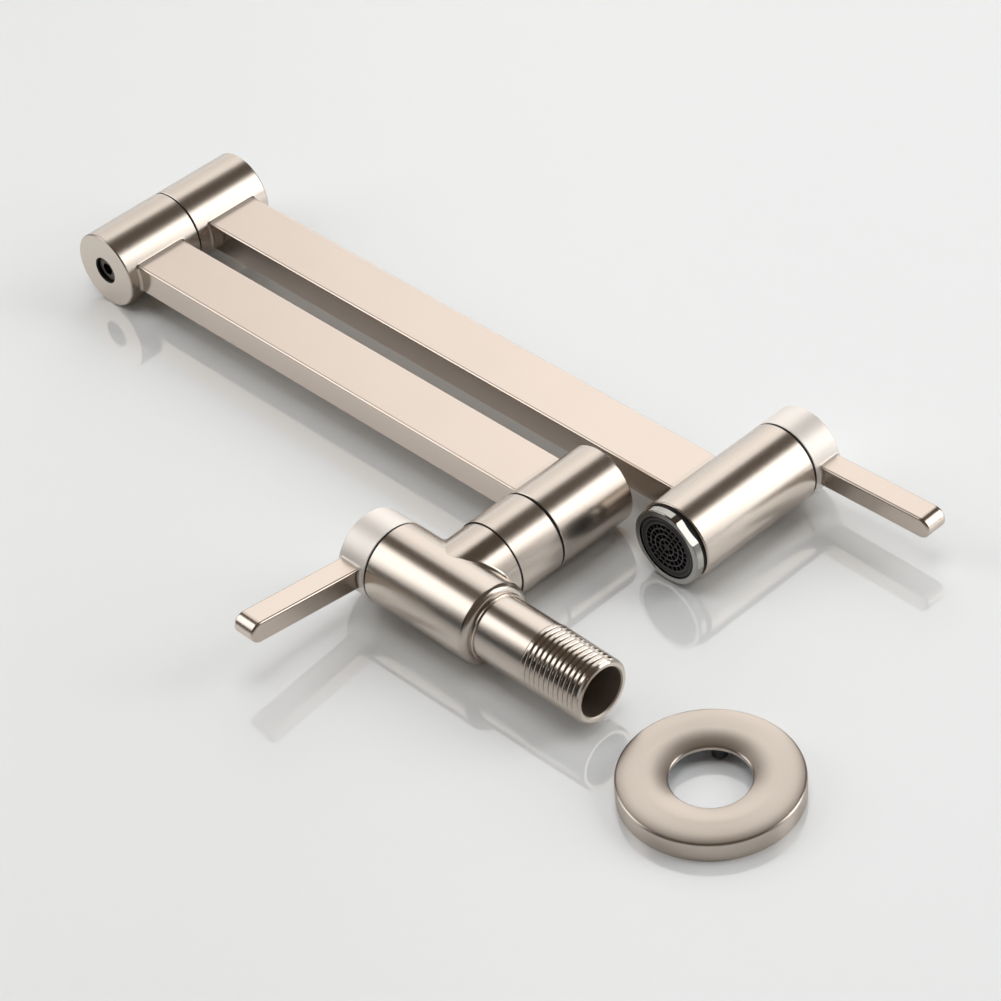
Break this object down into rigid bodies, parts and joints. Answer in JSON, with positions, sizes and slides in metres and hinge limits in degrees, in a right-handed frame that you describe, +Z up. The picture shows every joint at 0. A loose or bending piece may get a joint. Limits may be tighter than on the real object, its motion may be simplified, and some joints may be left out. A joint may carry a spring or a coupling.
{
  "type": "wall-mounted folding kitchen faucet",
  "caption": "Wall-mounted folding pot-filler tap: round valve with a side inlet, flat swivelling arms joined at an elbow, lever handles, an aerator spout and a loose wall plate.",
  "frame": {"origin": "on the inlet's axis, where the pipe thread starts", "axes": "+X along the inlet, out of its thread and towards the wall in use; +Y along the swivel axes, which is up in use; +Z up from the table on which the folded tap lies, as pictured"},
  "size_m": [0.3387, 0.1714, 0.026],
  "materials": {
    "brushed_nickel": "brushed nickel plate over brass",
    "polished_nickel": "bright nickel plate over brass",
    "turned_brass": "turned brass",
    "ceramic": "lapped alumina ceramic",
    "black_rubber": "moulded rubber",
    "black_acetal": "machined acetal",
    "grey_plastic": "moulded plastic",
    "white_foam": "closed-cell foam",
    "stainless_steel": "stainless steel"
  },
  "bodies": {
    "valve": {"valve_body": "brushed_nickel", "inlet_nipple": "polished_nickel", "swivel_collar": "brushed_nickel", "swivel_washer": "black_acetal", "swivel_post": "turned_brass", "swivel_seals": "black_rubber", "valve_seat_seal": "black_rubber", "valve_fixed_disc": "ceramic", "valve_cartridge": "turned_brass", "valve_bonnet_nut": "turned_brass", "valve_glide_ring": "black_acetal"},
    "valve_lever": {"valve_handle": "brushed_nickel", "valve_stem": "turned_brass", "valve_stem_seal": "black_rubber", "valve_moving_disc": "ceramic", "valve_grub_screw": "stainless_steel"},
    "lower_arm": {"knuckle": "brushed_nickel", "knuckle_screw": "stainless_steel", "lower_bar": "brushed_nickel", "elbow_lower": "brushed_nickel", "elbow_washer": "black_acetal", "elbow_screw_bush": "black_acetal"},
    "upper_arm": {"elbow_upper": "brushed_nickel", "elbow_post": "turned_brass", "elbow_seals": "black_rubber", "elbow_screw": "stainless_steel", "upper_bar": "brushed_nickel", "spout_body": "brushed_nickel", "aerator_ring": "polished_nickel", "aerator_gasket": "black_rubber", "aerator_grille": "grey_plastic", "aerator_strainer": "grey_plastic", "spout_seat_seal": "black_rubber", "spout_fixed_disc": "ceramic", "spout_cartridge": "turned_brass", "spout_bonnet_nut": "turned_brass", "spout_glide_ring": "black_acetal"},
    "spout_lever": {"spout_handle": "brushed_nickel", "spout_stem": "turned_brass", "spout_stem_seal": "black_rubber", "spout_moving_disc": "ceramic", "spout_grub_screw": "stainless_steel"},
    "wall_plate": {"escutcheon": "brushed_nickel", "plate_seal": "white_foam"}
  },
  "joints": [
    {"name": "lower_arm_swivel", "type": "hinge", "parent": "valve", "child": "lower_arm", "pos_m": [-0.0405, 0.0512, 0], "axis": [0, 1, 0], "continuous": true},
    {"name": "elbow_swivel", "type": "hinge", "parent": "lower_arm", "child": "upper_arm", "pos_m": [-0.238, 0.0672, 0], "axis": [0, -1, 0], "continuous": true},
    {"name": "valve_lever_turn", "type": "hinge", "parent": "valve", "child": "valve_lever", "pos_m": [-0.0605, 0, 0], "axis": [-1, 0, 0], "range_deg": [0, 90]},
    {"name": "spout_lever_turn", "type": "hinge", "parent": "upper_arm", "child": "spout_lever", "pos_m": [-0.006, 0.1064, 0], "axis": [0, -1, 0], "range_deg": [0, 90]},
    {"name": "escutcheon_lift", "type": "slide", "parent": "valve", "child": "wall_plate", "axis": [0, 0, 1], "range_m": [0, 0.06]}
  ]
}
